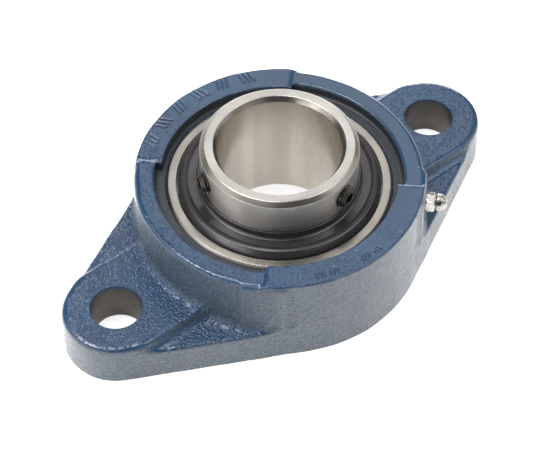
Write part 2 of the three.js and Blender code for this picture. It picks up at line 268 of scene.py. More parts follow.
def iso_surface(field, radii, columns, heights):
    """Quads where field is zero, on a grid of radii, columns round Z and heights. Each cell that the
    surface crosses gives a vertex, which is moved onto the surface."""
    angles = 2 * np.pi * np.arange(columns) / columns
    cos, sin = np.cos(angles)[None, :, None], np.sin(angles)[None, :, None]
    reach = radii[:, None, None]
    layers = [field(reach * cos, reach * sin, np.full((1, 1, 1), z))[..., 0] for z in heights]
    inside = np.stack(layers, axis=2) < 0
    wrapped = np.concatenate([inside, inside[:, :1]], axis=1)
    cells = np.array(wrapped.shape) - 1
    filled = np.zeros(cells, np.int8)
    for i, j, k in np.ndindex(2, 2, 2):
        filled += wrapped[i:cells[0] + i, j:cells[1] + j, k:cells[2] + k]
    mixed = (filled > 0) & (filled < 8)
    number = np.full(mixed.shape, -1)
    number[mixed] = np.arange(mixed.sum())
    i, j, k = np.argwhere(mixed).T
    middle = (radii[i] + radii[i + 1]) / 2
    level = (heights[k] + heights[k + 1]) / 2
    turn = 2 * np.pi * (j + 0.5) / columns
    points = np.stack([middle * np.cos(turn), middle * np.sin(turn), level], axis=1)
    for _ in range(5):
        points -= np.clip(newton_step(field, points), -0.3, 0.3)
    return points, np.concatenate([edge_quads(inside, number, axis) for axis in range(3)])


def newton_step(field, points):
    """How far each point has to move back to reach the surface."""
    reach = 0.02
    value = field(*points.T)
    slope = np.empty_like(points)
    for axis in range(3):
        shift = np.zeros(3)
        shift[axis] = reach
        slope[:, axis] = (field(*(points + shift).T) - field(*(points - shift).T)) / (2 * reach)
    return (value / np.maximum((slope * slope).sum(1), 0.2))[:, None] * slope


def edge_quads(inside, number, axis):
    """A quad round each grid edge along axis that the surface crosses. The second axis wraps round."""
    ends = np.roll(inside, -1, axis)
    crossed = inside != ends
    if axis != 1:
        last = [slice(None)] * 3
        last[axis] = -1
        crossed[tuple(last)] = False
    edges = np.argwhere(crossed)
    u, v = (axis + 1) % 3, (axis + 2) % 3
    corners = []
    for du, dv in ((1, 1), (0, 1), (0, 0), (1, 0)):
        cell = edges.copy()
        cell[:, u] -= du
        cell[:, v] -= dv
        cell[:, 1] %= number.shape[1]
        corners.append(number[tuple(cell.T)])
    quads = np.stack(corners, axis=1)
    outwards = inside[tuple(edges.T)]
    quads[~outwards] = quads[~outwards][:, ::-1]
    return quads


# ---- turned shapes ----

def rounded(corners, steps=5):
    """A profile through corners of (radius, height, fillet), with each corner rounded by its fillet."""
    points = []
    count = len(corners)
    for i, (radius, height, fillet) in enumerate(corners):
        here = np.array([radius, height], float)
        if not fillet:
            points.append(here)
            continue
        before = np.array(corners[i - 1][:2], float) - here
        after = np.array(corners[(i + 1) % count][:2], float) - here
        before /= np.linalg.norm(before)
        after /= np.linalg.norm(after)
        half = math.acos(np.clip(before @ after, -1, 1)) / 2
        centre = here + (before + after) / np.linalg.norm(before + after) * fillet / math.sin(half)
        start = here + before * fillet / math.tan(half) - centre
        end = here + after * fillet / math.tan(half) - centre
        sweep = math.pi - 2 * half
        for step in range(steps + 1):
            t = step / steps
            points.append(centre + (math.sin((1 - t) * sweep) * start + math.sin(t * sweep) * end)
                          / math.sin(sweep))
    return points


def arc(centre_r, centre_z, radius, start, end, steps):
    """Profile points on a circle, with angles in degrees from the radial direction."""
    angles = np.radians(np.linspace(start, end, steps + 1))
    return [(centre_r + radius * math.cos(a), centre_z + radius * math.sin(a), 0) for a in angles]


def turned(rows, columns, closed=False):
    """Vertices and faces of rows of (radius, height) turned about Z. A radius may be an array, by column.
    A closed profile joins its last row to its first; an open one starts and ends on the axis."""
    angles = 2 * math.pi * np.arange(columns) / columns
    vertices = []
    rings = []
    for radius, height in rows:
        if np.ndim(radius) == 0 and radius == 0:
            rings.append([len(vertices)] * columns)
            vertices.append((0, 0, height))
            continue
        rings.append(list(range(len(vertices), len(vertices) + columns)))
        radii = np.broadcast_to(radius, columns)
        heights = np.broadcast_to(height, columns)
        vertices.extend(zip(radii * np.cos(angles), radii * np.sin(angles), heights))
    faces = []
    pairs = list(zip(rings, rings[1:] + rings[:1]))
    for lower, upper in pairs if closed else pairs[:-1]:
        for i in range(columns):
            j = (i + 1) % columns
            corners = [lower[i], lower[j], upper[j], upper[i]]
            faces.append(list(dict.fromkeys(corners)))
    return np.array(vertices, float), faces


def ball_rows(radius, height, count):
    """Rows of a ball whose centre is at that height on the axis."""
    angles = np.radians(np.linspace(-90, 90, count)[1:-1])
    belts = [(radius * math.cos(a), height + radius * math.sin(a)) for a in angles]
    return [(0, height - radius), *belts, (0, height + radius)]


def hexagon(flats, columns, turn=0.0):
    """Radius of a hexagon, by column. A turn in degrees moves its corners."""
    angles = 2 * np.pi * np.arange(columns) / columns - math.radians(turn)
    return flats / 2 / np.cos((angles + np.pi / 6) % (np.pi / 3) - np.pi / 6)


def spin(points, angle=0.0, axis="Z", shift=(0, 0, 0)):
    """Points turned about an axis by an angle in degrees, and then shifted."""
    turn = np.array(Matrix.Rotation(math.radians(angle), 3, axis))
    return np.asarray(points) @ turn.T + np.array(shift)


def radial(points, angle, height):
    """Points drawn along +Z, laid along the radius at that azimuth and height."""
    return spin(spin(points, 90, "Y"), angle, "Z", (0, 0, height))


# ---- meshes and objects ----

def make_mesh(name, points, faces):
    """A mesh in metres from points in millimetres, with its faces outwards."""
    mesh = bpy.data.meshes.new(name)
    mesh.from_pydata((np.asarray(points) * MM).tolist(), [], [list(map(int, f)) for f in faces])
    mesh.validate()
    mesh.update()
    outwards(mesh)
    return mesh


def read(items, attribute, width, kind=float):
    """An attribute of a mesh's vertices or faces, as one row of numbers for each."""
    numbers = np.empty(len(items) * width, kind)
    items.foreach_get(attribute, numbers)
    return numbers.reshape(-1, width)


def outwards(mesh):
    """Turns the faces outwards if the mesh's volume comes out negative."""
    mesh.calc_loop_triangles()
    corners = read(mesh.vertices, "co", 3)
    triangles = read(mesh.loop_triangles, "vertices", 3, np.int64)
    a, b, c = (corners[triangles[:, i]] for i in range(3))
    if np.einsum("ij,ij->i", a, np.cross(b, c)).sum() < 0:
        mesh.flip_normals()


def joined(shapes):
    """Points and faces of several shapes as one."""
    points = []
    faces = []
    for shape_points, shape_faces in shapes:
        faces.extend([[i + len(points) for i in face] for face in shape_faces])
        points.extend(shape_points)
    return points, faces


def radial_mesh(name, rows, columns, angle, height, closed=False):
    """A shape turned about a radius of the bearing, at that azimuth and height."""
    points, faces = turned(rows, columns, closed)
    return make_mesh(name, radial(points, angle, height), faces)


def place(name, mesh):
    piece = bpy.data.objects.new(name, mesh)
    bpy.context.scene.collection.objects.link(piece)
    return piece


def carve(mesh, cutters, operation="DIFFERENCE"):
    """Cuts closed meshes out of a closed mesh, or joins them to it, and returns the new mesh."""
    blank = place("blank", mesh)
    tools = [place("cutter", cutter) for cutter in cutters]
    for tool in tools:
        step = blank.modifiers.new("cut", "BOOLEAN")
        step.object = tool
        step.operation = operation
        step.solver = "MANIFOLD"
    bpy.context.view_layer.update()
    graph = bpy.context.evaluated_depsgraph_get()
    result = bpy.data.meshes.new_from_object(blank.evaluated_get(graph), depsgraph=graph)
    for thing in [blank, *tools]:
        bpy.data.objects.remove(thing)
    return result


def hand_over(name, mesh, materials, body, node, sharp=32):
    """Makes the piece that stands for a CAD node and rides on its body, smooth up to an angle in degrees."""
    indices = read(mesh.polygons, "material_index", 1, np.int32)[:, 0]
    mesh.materials.clear()
    for material in materials:
        mesh.materials.append(material)
    mesh.polygons.foreach_set("material_index", indices % len(materials))
    mesh.polygons.foreach_set("use_smooth", [True] * len(mesh.polygons))
    mesh.set_sharp_from_angle(angle=math.radians(sharp))
    piece = place(name, mesh)
    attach(piece, body)
    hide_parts(node)
    return piece


# ---- materials ----

class Shader:
    """A Principled material being built, with short ways to add and join nodes."""

    def __init__(self, name, colour, metallic, roughness, **constants):
        self.material = bpy.data.materials.new(name)
        self.material.use_nodes = True
        self.tree = self.material.node_tree
        self.surface = self.tree.nodes["Principled BSDF"]
        self.surface.inputs["Base Color"].default_value = (*colour, 1)
        self.surface.inputs["Metallic"].default_value = metallic
        self.surface.inputs["Roughness"].default_value = roughness
        for label, value in constants.items():
            self.surface.inputs[label.replace("_", " ")].default_value = value
        self.place = self.node("ShaderNodeTexCoord").outputs["Object"]

    def node(self, kind, settings=None, **inputs):
        node = self.tree.nodes.new(kind)
        for key, value in (settings or {}).items():
            setattr(node, key, value)
        for label, value in inputs.items():
            self.put(node.inputs[label.replace("_", " ")], value)
        return node

    def put(self, socket, value):
        if isinstance(value, bpy.types.NodeSocket):
            self.tree.links.new(value, socket)
        else:
            socket.default_value = value

    def set(self, label, value):
        self.put(self.surface.inputs[label], value)

    def math(self, operation, a, b=0.0):
        node = self.node("ShaderNodeMath", {"operation": operation})
        for socket, value in zip(node.inputs, (a, b)):
            self.put(socket, value)
        return node.outputs[0]

    def plus(self, a, b):
        return self.math("ADD", a, b)

    def times(self, a, b):
        return self.math("MULTIPLY", a, b)

    def length(self, a, b):
        """The length of a vector of two parts."""
        squares = [self.times(part, part) for part in (a, b)]
        return self.math("SQRT", self.plus(*squares))

    def noise(self, scale, detail=3.0, rough=0.5, vector=None):
        node = self.node("ShaderNodeTexNoise", Scale=scale, Detail=detail, Roughness=rough)
        self.put(node.inputs["Vector"], vector or self.place)
        return node.outputs["Fac"]

    def cells(self, scale):
        """Distance from the middle of the nearest cell."""
        node = self.node("ShaderNodeTexVoronoi", Scale=scale, Vector=self.place)
        return node.outputs["Distance"]

    def ramp(self, value, low, high, out_low=0.0, out_high=1.0):
        """A smooth step from out_low to out_high, while the value goes from low to high."""
        node = self.node("ShaderNodeMapRange", {"interpolation_type": "SMOOTHSTEP"})
        for socket, item in zip(node.inputs, (value, low, high, out_low, out_high)):
            self.put(socket, item)
        return node.outputs[0]

    def mix(self, share, a, b):
        """A colour that goes from a to b."""
        node = self.node("ShaderNodeMix", {"data_type": "RGBA"})
        self.put(node.inputs["Factor"], share)
        for socket, value in ((node.inputs[6], a), (node.inputs[7], b)):
            self.put(socket, value if isinstance(value, bpy.types.NodeSocket) else (*value, 1))
        return node.outputs[2]

    def bump(self, height, distance, strength):
        node = self.node("ShaderNodeBump", Strength=strength, Distance=distance, Height=height)
        return node.outputs[0]

    def axes(self):
        """The place as X, Y and Z."""
        return self.node("ShaderNodeSeparateXYZ", Vector=self.place).outputs

    def blend(self, share, a, b):
        """A number that goes from a to b."""
        node = self.node("ShaderNodeMix")
        for number, value in ((0, share), (2, a), (3, b)):
            self.put(node.inputs[number], value)
        return node.outputs[0]

    def facing_up(self):
        """How far the surface faces up: the height of its normal."""
        normal = self.node("ShaderNodeNewGeometry").outputs["Normal"]
        return self.node("ShaderNodeSeparateXYZ", Vector=normal).outputs[2]

    def edge_pointiness(self):
        """Above a half on outer edges, which wear first and take a painted highlight."""
        return self.node("ShaderNodeNewGeometry").outputs["Pointiness"]

    def round_axis(self, turn_scale, reach_scale):
        """A vector of angle about Z, distance from it and height, for marks that run round the axis."""
        x, y, z = self.axes()
        turn = self.times(self.math("ARCTAN2", y, x), turn_scale)
        reach = self.times(self.length(x, y), reach_scale)
        height = self.times(z, reach_scale)
        return self.node("ShaderNodeCombineXYZ", X=turn, Y=reach, Z=height).outputs[0]


PAINT = (0.0105, 0.051, 0.120)
# The walls' paint: the same blue paint, greyed as a painted sheen.
WALL_PAINT_WITH_SHEEN = (0.028, 0.056, 0.092)
# Lighter blue-grey on sharp edges: partly chipped paint and partly a painted highlight.
CHIPS_AND_HIGHLIGHT = (0.16, 0.22, 0.30)
BARE = (0.086, 0.078, 0.07)
# The inner ring's steels below are one ground steel in lit and shaded copies: painted light makes its side
# lighter, and painted shade makes its bore a little darker and its edges much darker.
FACE_STEEL = (0.54, 0.52, 0.485)
BORE_STEEL = (0.51, 0.465, 0.41)
SHADED_EDGE_STEEL = (0.34, 0.315, 0.285)
LIT_SIDE_STEEL = (0.60, 0.575, 0.54)
BEARING_STEEL = (0.42, 0.395, 0.36)
SHEET_STEEL = (0.46, 0.45, 0.43)
HANDLED = (0.2, 0.155, 0.115)

# Where the paint changes: at a lug's smooth rim, at the smooth front, along X where the pebbles fade, in the
# bolt holes, which lie past the body's end, and below the counterbore's painted rim.
LUG_RIM = (16.8 * MM, 18.4 * MM)
LUG_RIM_START = (-12 * MM, -4 * MM)
SMOOTH_FRONT = (34.5 * MM, 36.2 * MM)
PEBBLES_FADE = (-35 * MM, 45 * MM)
RUN_LEVEL = 18.6 * MM
BODY_END = (50 * MM, 55 * MM)
PAINTED_RIM = 0.9


def tinted(colour, factor):
    return tuple(c * factor for c in colour)


def blue_paint():
    """Glossy paint over sand-cast iron: grainy on the walls, which a painted sheen makes greyer, and
    pebbled where it faces up.
    """
    shader = Shader("blue_paint", PAINT, 0.0, 0.36,
                    Coat_Weight=1.0, Coat_Roughness=0.05, Specular_IOR_Level=0.3)
    flat = shader.ramp(shader.math("ABSOLUTE", shader.facing_up()), 0.35, 0.8)
    height = paint_relief(shader, flat)
    shader.set("Normal", shader.bump(height, 0.3 * MM, 0.9))
    shader.set("Coat Normal", shader.bump(height, 0.3 * MM, 0.9))
    shader.set("Base Color", paint_colour(shader, flat))
    shader.set("Roughness", shader.ramp(shader.noise(160, 4.0, 0.6), 0.25, 0.75, 0.3, 0.44))
    return shader.material


def paint_relief(shader, flat):
    """Height of the grain on the walls, and of the pebbles where the surface is flat."""
    grain = shader.noise(1900, 3.0, 0.55)
    pebbles = shader.ramp(shader.cells(1250), 0.0, 0.6)
    wall = shader.plus(shader.times(grain, 1.7), shader.times(pebbles, 0.7))
    beads = shader.ramp(shader.cells(900), 0.0, 0.6, 1.08, 0.0)
    patches = shader.ramp(shader.noise(600, 2.0), 0.35, 0.6, 0.8, 1.1)
    lumps = shader.noise(260, 3.0, 0.55)
    top = shader.plus(shader.times(beads, patches), shader.times(grain, 0.5))
    top = shader.plus(top, shader.times(lumps, 0.4))
    return shader.blend(flat, wall, shader.times(top, pebble_depth(shader)))


def pebble_depth(shader):
    """How strong the pebbles are: less towards +X, on the front and on the rims of the lugs."""
    x, y, z = shader.axes()
    out = shader.math("SUBTRACT", shader.math("ABSOLUTE", x), LUG_X * MM)
    rim = shader.times(shader.ramp(shader.length(out, y), *LUG_RIM), shader.ramp(out, *LUG_RIM_START))
    front = shader.ramp(z, *SMOOTH_FRONT)
    calm = shader.ramp(x, *PEBBLES_FADE, 0.0, 0.76)
    depth = shader.times(shader.ramp(front, 0, 1, 1.0, 0.22), shader.math("SUBTRACT", 1.0, calm))
    return shader.times(depth, shader.ramp(rim, 0, 1, 1.0, 0.2))


def paint_colour(shader, flat):
    """Uneven blue: dusty on the walls and greyed there as a painted sheen, and lighter on the sharp edges,
    which is partly chipped paint and partly a painted highlight.
    """
    tone = shader.ramp(shader.noise(45, 4.0, 0.6), 0.3, 0.75)
    top = shader.mix(tone, tinted(PAINT, 0.86), tinted(PAINT, 1.16))
    dust = shader.ramp(shader.noise(900, 5.0, 0.7), 0.35, 0.65)
    # Painted sheen: the walls are greyer than the tops. The dust on them varies at random.
    wall = shader.mix(dust, tinted(WALL_PAINT_WITH_SHEEN, 0.38), tinted(WALL_PAINT_WITH_SHEEN, 1.5))
    # Sharp edges go lighter: partly chips and partly a painted highlight.
    edge = shader.ramp(shader.edge_pointiness(), 0.54, 0.62)
    chips = shader.ramp(shader.noise(420, 5.0, 0.65), 0.48, 0.62)
    wear_and_highlight = shader.times(edge, shader.times(chips, 0.55))
    return shader.mix(wear_and_highlight, shader.mix(flat, wall, top), CHIPS_AND_HIGHLIGHT)


def bare_iron():
    """Machined grey iron left bare in the seat and the bolt holes, with paint run over the holes' edges."""
    shader = Shader("bare_iron", BARE, 0.6, 0.48)
    x, _, z = shader.axes()
    lines = shader.noise(1.0, 3.0, 0.6, shader.round_axis(6.0, 9000))
    stain = shader.ramp(shader.noise(90, 4.0, 0.6), 0.3, 0.75)
    metal = shader.mix(stain, tinted(BARE, 1.08), tinted(BARE, 0.84))
    runs = shader.times(shader.noise(110, 3.0, 0.55), 6 * MM)
    outside = shader.ramp(shader.math("ABSOLUTE", x), *BODY_END)
    level = shader.math("SUBTRACT", RUN_LEVEL, runs)
    paint = shader.times(outside, shader.math("GREATER_THAN", z, level))
    shader.set("Base Color", shader.mix(paint, metal, tinted(PAINT, 0.8)))
    shader.set("Metallic", shader.ramp(paint, 0, 1, 0.6, 0.0))
    shader.set("Roughness", shader.ramp(stain, 0, 1, 0.42, 0.55))
    shader.set("Normal", shader.bump(shader.plus(lines, shader.noise(900, 3.0)), 0.06 * MM, 0.6))
    return shader.material


def turned_iron():
    """The turned ledge and the walls round it: dark grey iron under a thin, uneven coat of overspray."""
    shader = Shader("turned_iron", BARE, 0.2, 0.5, Coat_Weight=0.2, Coat_Roughness=0.3)
    patches = shader.ramp(shader.noise(420, 5.0, 0.7), 0.34, 0.66)
    grit = shader.ramp(shader.noise(1300, 3.0, 0.6), 0.52, 0.64)
    film = shader.mix(patches, (0.036, 0.038, 0.042), (0.022, 0.036, 0.054))
    shader.set("Base Color", shader.mix(grit, film, (0.06, 0.064, 0.07)))
    rings = shader.noise(1.0, 2.0, 0.6, shader.round_axis(3.0, 2600))
    shader.set("Normal", shader.bump(shader.plus(rings, shader.noise(1300, 3.0)), 0.1 * MM, 0.7))
    return shader.material


def ground_steel(name, colour, roughness, streak, aniso, contrast=0.26, stain=0.06):
    """Steel ground round the bearing axis: very fine rings, clouds, soft painted reflection bands along the
    axis, and faint brown marks from handling."""
    shader = Shader(name, colour, 1.0, roughness, Anisotropic=aniso, Anisotropic_Rotation=0.25)
    tangent = shader.node("ShaderNodeTangent", {"direction_type": "RADIAL", "axis": "Z"})
    shader.set("Tangent", tangent.outputs[0])
    rings = shader.noise(1.0, 4.0, 0.65, shader.round_axis(2.5, 5200))
    clouds = shader.ramp(shader.noise(70, 4.0, 0.6), 0.3, 0.75)
    x, y, _ = shader.axes()
    flat = shader.node("ShaderNodeCombineXYZ", X=x, Y=y).outputs[0]
    # Painted reflection: soft bands that change round the axis but not along it, deeper where contrast is
    # larger.
    reflection_bands = shader.ramp(shader.noise(62, 2.0, 0.5, flat), 0.36, 0.64)
    tone = shader.plus(shader.times(reflection_bands, 0.55), shader.times(rings, 0.45))
    marks = shader.ramp(shader.noise(330, 6.0, 0.72), 0.6, 0.72)
    metal = shader.mix(tone, tinted(colour, 1.08 - contrast), tinted(colour, 1.08))
    shader.set("Base Color", shader.mix(shader.times(marks, stain), metal, HANDLED))
    shader.set("Roughness", shader.ramp(clouds, 0, 1, roughness - 0.03, roughness + 0.03))
    shader.set("Normal", shader.bump(rings, 0.01 * MM, streak))
    return shader.material


def dark_plate():
    """Pressed steel with a dark satin finish, with faint rings from the press and a little dust."""
    shader = Shader("dark_plate", (0.06, 0.058, 0.06), 0.6, 0.3)
    rings = shader.noise(1.0, 3.0, 0.6, shader.round_axis(1.5, 1600))
    dust = shader.times(shader.ramp(shader.noise(210, 6.0, 0.7), 0.5, 0.8), 0.4)
    shader.set("Base Color", shader.mix(dust, (0.076, 0.073, 0.075), (0.125, 0.12, 0.118)))
    shader.set("Roughness", shader.ramp(shader.noise(95, 5.0, 0.65), 0.25, 0.75, 0.2, 0.3))
    shader.set("Normal", shader.bump(rings, 0.03 * MM, 0.35))
    return shader.material


def black_oxide():
    """Black oxide with brighter metal on the edges: partly rubbed wear and partly a painted highlight."""
    shader = Shader("black_oxide", (0.03, 0.028, 0.026), 0.7, 0.36)
    rub = shader.ramp(shader.noise(900, 4.0, 0.6), 0.3, 0.65)
    # Brighter edges: partly rubbed metal and partly a painted highlight.
    wear_and_highlight = shader.times(shader.ramp(shader.edge_pointiness(), 0.52, 0.6), rub)
    shader.set("Base Color", shader.mix(wear_and_highlight, (0.04, 0.036, 0.032), (0.26, 0.24, 0.21)))
    shader.set("Roughness", shader.ramp(shader.noise(700, 4.0, 0.6), 0.3, 0.7, 0.26, 0.46))
    return shader.material


def bright_zinc():
    """Bright plated steel with slight clouding."""
    shader = Shader("bright_zinc", (0.5, 0.48, 0.44), 1.0, 0.26)
    clouds = shader.ramp(shader.noise(500, 4.0, 0.6), 0.35, 0.7)
    shader.set("Base Color", shader.mix(clouds, (0.52, 0.51, 0.48), (0.40, 0.385, 0.345)))
    shader.set("Roughness", shader.ramp(clouds, 0, 1, 0.2, 0.34))
    shader.set("Normal", shader.bump(shader.noise(2600, 3.0), 0.02 * MM, 0.3))
    return shader.material


def nitrile():
    """Matt black rubber with a bloom."""
    shader = Shader("nitrile", (0.018, 0.018, 0.018), 0.0, 0.65)
    bloom = shader.ramp(shader.noise(320, 5.0, 0.6), 0.4, 0.75)
    shader.set("Base Color", shader.mix(bloom, (0.016, 0.016, 0.017), (0.04, 0.04, 0.041)))
    shader.set("Normal", shader.bump(shader.noise(2400, 2.0), 0.03 * MM, 0.5))
    return shader.material


def floor_white():
    """A white table that glows a little, so that its shadows stay pale."""
    shader = Shader("floor_white", (0.85, 0.85, 0.85), 0.0, 0.6,
                    Emission_Color=(1, 1, 1, 1), Emission_Strength=0.72)
    shader.set("Base Color", shader.mix(shader.noise(6, 2.0), (0.84, 0.84, 0.84), (0.87, 0.87, 0.87)))
    return shader.material


# ---- housing ----

def bar_mark(angle, reach, shift, length, width, turn):
    """A round-ended bar raised on the front at an azimuth and distance, shifted sideways and turned from
    the radius by an angle in degrees."""
    radius = width / 2
    half = length / 2 - radius
    cap = [(radius * math.cos(a), half + radius * math.sin(a)) for a in np.linspace(0, math.pi / 2, 7)[:-1]]
    rows = [(0, -half - radius), *[(r, -h) for r, h in reversed(cap)], *cap, (0, half + radius)]
    points, faces = turned(rows, 16)
    height = RAISED_TOP - SKIN + MARK_RISE - radius
    points = spin(spin(points, 90, "Y"), turn, "Z", (reach, shift, height))
    return spin(points, angle), faces


def cast_marks():
    """Plain slanted bars and short dashes where a foundry puts its marks. They say nothing."""
    marks = []
    for i, angle in enumerate(np.linspace(123, 66, 6)):
        lean = BAR_LEAN if i % 2 else -BAR_LEAN
        for step in (-1, 0, 1):
            marks.append(bar_mark(angle, BAR_REACH, step * BAR_SPACING, 5.6, 1.15, lean))
    for angle, lean in DASH_GROUPS:
        for step in (-1, 0, 1):
            marks.append(bar_mark(angle, DASH_REACH, step * DASH_SPACING, 2.6, 0.8, lean))
    return make_mesh("marks", *joined(marks))


def housing_cutters():
    """The machined shapes: mounting face, spherical seat, bolt holes and the hole for the nipple."""
    cutters = [make_mesh("mill", *turned([(0, -9), (130, -9), (130, 0), (0, 0)], 8))]
    low, high = 8.0, 34.0
    span = np.degrees(np.arcsin(np.array([low - CENTRE_Z, LEDGE_Z - 0.5 - CENTRE_Z]) / SEAT_R))
    seat = [(0, low), *[p[:2] for p in arc(0, CENTRE_Z, SEAT_R, *span, 40)],
            (LEDGE_INNER_R, LEDGE_Z + 0.1), (LEDGE_INNER_R, high), (0, high)]
    cutters.append(make_mesh("seat", *turned(seat, 256)))
    chamfer, beyond = 0.1, 2
    bolt = [(0, -beyond), (BOLT_R + chamfer + beyond, -beyond), (BOLT_R, chamfer),
            (BOLT_R, PAD_TOP - chamfer - 0.1), (BOLT_R + chamfer + beyond, PAD_TOP + 1.9),
            (0, PAD_TOP + 1.9)]
    points, faces = turned(bolt, 128)
    bolts = [(spin(points, shift=(side * LUG_X, 0, 0)), faces) for side in (-1, 1)]
    cutters.append(make_mesh("bolts", *joined(bolts)))
    shank = [(0, 38), (3.05, 38), (3.05, 60), (0, 60)]
    cutters.append(radial_mesh("shank", shank, 32, NIPPLE_ANGLE, NIPPLE_Z))
    return cutters


def housing_finishes(mesh):
    """Material numbers of the faces: 1 where a tool has cut the seat, the holes and the mounting face, 2 on
    the ledge and the walls of the counterbore and its recesses, and 0 where there is paint."""
    x, y, z = read(mesh.polygons, "center", 3).T / MM
    up = read(mesh.polygons, "normal", 3)[:, 2]
    rho = np.hypot(x, y)
    seat = np.abs(np.sqrt(x * x + y * y + (z - CENTRE_Z) ** 2) - SEAT_R) < 0.06
    holes = np.hypot(np.abs(x) - LUG_X, y) < BOLT_R + 0.3
    face = (z < 0.01) & (up < -0.9)
    ledge = (rho < RECESS_R - 0.3) & (z > SLOT_TOP + 4) & (z < LEDGE_Z + 0.5) & (up > 0.5)
    reach = np.where(np.abs(x) < np.abs(y), COUNTERBORE_R, RECESS_R) + 0.25
    wall = (rho < reach) & (z > LEDGE_Z) & (z < PLAIN_TOP - PAINTED_RIM)
    finish = np.where(ledge | wall, 2, (seat | holes | face).astype(int))
    mesh.polygons.foreach_set("material_index", finish.astype(np.int32))


def cast_housing(materials):
    """The casting with its marks, machined and painted. The grid is finer near its edges."""
    coarse = 1.18
    radii = graded(coarse, (35.5, 1.0), (42.2, 0.3), (46.8, 0.7), (51.2, 0.3), (54.6, 0.8),
                   (HOUSING_HIGH[0] + 2, 0))
    heights = graded(coarse, (-2.5, 0.9), (11.2, 0.5), (18.4, 0.85), (32.0, 0.3), (33.3, 0.6), (34.9, 0.28),
                     (RAISED_TOP + 1, 0))
    columns = int(720 / coarse / 8) * 8
    points, quads = iso_surface(housing_field, radii, columns, heights)
    mesh = make_mesh("cast_housing", points, quads)
    mesh = carve(mesh, [cast_marks()], "UNION")
    mesh = carve(mesh, housing_cutters())
    housing_finishes(mesh)
    hand_over("cast_housing", mesh, materials, "housing", "housing", 38)


# ---- bearing insert ----

def outer_ring(material):
    """Spherical outside with a grease groove, raceway and seal seats inside, pin hole and grease holes."""
    top = HALF_WIDTH
    edge = math.degrees(math.acos((OUTER_LAND_R - PITCH_R) / RACE_R))
    sphere = math.degrees(math.asin((top - 0.7) / SPHERE_R))
    groove = math.degrees(math.asin(6 / SPHERE_R))
    seal_seat = [(37.5, top, 0.25), (37.5, 9.4, 0.1), (38.4, 9.4, 0.1), (38.4, 8.0, 0.1),
                 (OUTER_LAND_R, 8.0, 0.2)]
    corners = seal_seat + arc(PITCH_R, 0, RACE_R, edge, -edge, 24)
    corners += [(r, -z, f) for r, z, f in reversed(seal_seat)]
    corners += [(OUTER_FACE_R, -top, 0.25)]
    corners += arc(0, 0, SPHERE_R, -sphere, groove - 1.1, 40)
    corners += arc(0, 0, SPHERE_R - 0.7, groove - 0.9, groove + 0.9, 2)
    corners += arc(0, 0, SPHERE_R, groove + 1.1, sphere, 8)
    corners += [(OUTER_FACE_R, top, 0.25)]
    rows = [(r, z + CENTRE_Z) for r, z in rounded(corners, 3)]
    mesh = make_mesh("ring", *turned(rows, 256, closed=True))
    pin_hole = [(0, 40.5), (2.15, 40.5), (2.15, 44), (0, 44)]
    cutters = [radial_mesh("hole", pin_hole, 32, 0, CENTRE_Z)]
    grease_hole = [(0, 35), (0.9, 35), (0.9, 44), (0, 44)]
    cutters += [radial_mesh("hole", grease_hole, 20, angle, NIPPLE_Z) for angle in GREASE_ANGLES]
    mesh = carve(mesh, cutters)
    hand_over("ground_outer_ring", mesh, [material], "outer_ring", "outer_ring")


def inner_ring(materials):
    """Wide ring with a chamfered bore, raceway and two screw holes. Its materials are those of the end
    faces, the bore, the edges and the side, which are lit and shaded copies of one ground steel."""
    low, high = INNER_LOW[2] - CENTRE_Z, INNER_HIGH[2] - CENTRE_Z
    edge = math.degrees(math.acos((PITCH_R - LAND_R) / RACE_R))
    corners = [(BORE_R, low + 1.5, 0.25), (BORE_R + 1.5, low, 0.25), (LAND_R - 1.1, low, 0.3),
               (LAND_R, low + 0.9, 0.4)]
    corners += arc(PITCH_R, 0, RACE_R, 180 + edge, 180 - edge, 24)
    corners += [(LAND_R, high - 1.5, 0.6), (LAND_R - 1.7, high, 0.5), (BORE_R + 1.25, high, 0.4),
                (BORE_R, high - 1.9, 0.6)]
    rows = [(r, z + CENTRE_Z) for r, z in rounded(corners, 5)]
    mesh = make_mesh("ring", *turned(rows, 288, closed=True))
    hole = [(0, 18), (SCREW_R + 0.05, 18), (SCREW_R + 0.05, LAND_R - 0.55), (SCREW_R + 0.9, LAND_R + 0.3),
            (SCREW_R + 0.9, 34), (0, 34)]
    mesh = carve(mesh, [radial_mesh("hole", hole, 48, angle, SCREW_Z) for angle in SCREW_ANGLES])
    for face in mesh.polygons:
        reach = math.hypot(*face.center[:2]) / MM
        depth = min(face.center[2] / MM - INNER_LOW[2], INNER_HIGH[2] - face.center[2] / MM)
        if reach < BORE_R + 0.06:
            face.material_index = 1
        elif depth > 0.12:
            face.material_index = 2 if depth < 1.6 and reach < LAND_R - 0.05 else 3
    hand_over("ground_inner_ring", mesh, materials, "inner_ring", "inner_ring")


def slinger(side, material):
    """The dark disc on the inner ring: collar, flat annulus, raised shoulder and turned-down rim."""
    inside = LAND_R + 0.05
    collar = inside + 0.75
    upper = [(collar, 16.0, 0.15), (collar, 13.0, 0.9), (33.2, 13.0, 0.8), (34.6, 13.6, 0.6),
             (35.7, 13.4, 0.8), (37.15, 11.3, 0.4), (37.15, 10.3, 0.12)]
    under = [(36.5, 10.3, 0.12), (36.4, 11.0, 0.3), (35.3, 12.6, 0.5), (34.6, 12.65, 0.5),
             (33.4, 12.2, 0.5), (inside, 12.2, 0.3), (inside, 16.0, 0.15)]
    rows = [(r, CENTRE_Z + side * z) for r, z in rounded(upper + under, 5)]
    mesh = make_mesh("disc", *turned(rows, 256, closed=True))
    if side > 0:
        points, faces = turned([(0, -0.16), (0.16, -0.16), (0.16, 0.16), (0, 0.16)], 8)
        points = spin(points * (6.5, 1, 1), shift=(31.7, 0, CENTRE_Z + 13.0))
        ticks = [(spin(points, angle), faces) for angle in np.linspace(-142, -113, 13)]
        mesh = carve(mesh, [make_mesh("ticks", *joined(ticks))])
    name = "front_slinger" if side > 0 else "back_slinger"
    hand_over("pressed_" + name, mesh, [material], "inner_ring", name, 40)


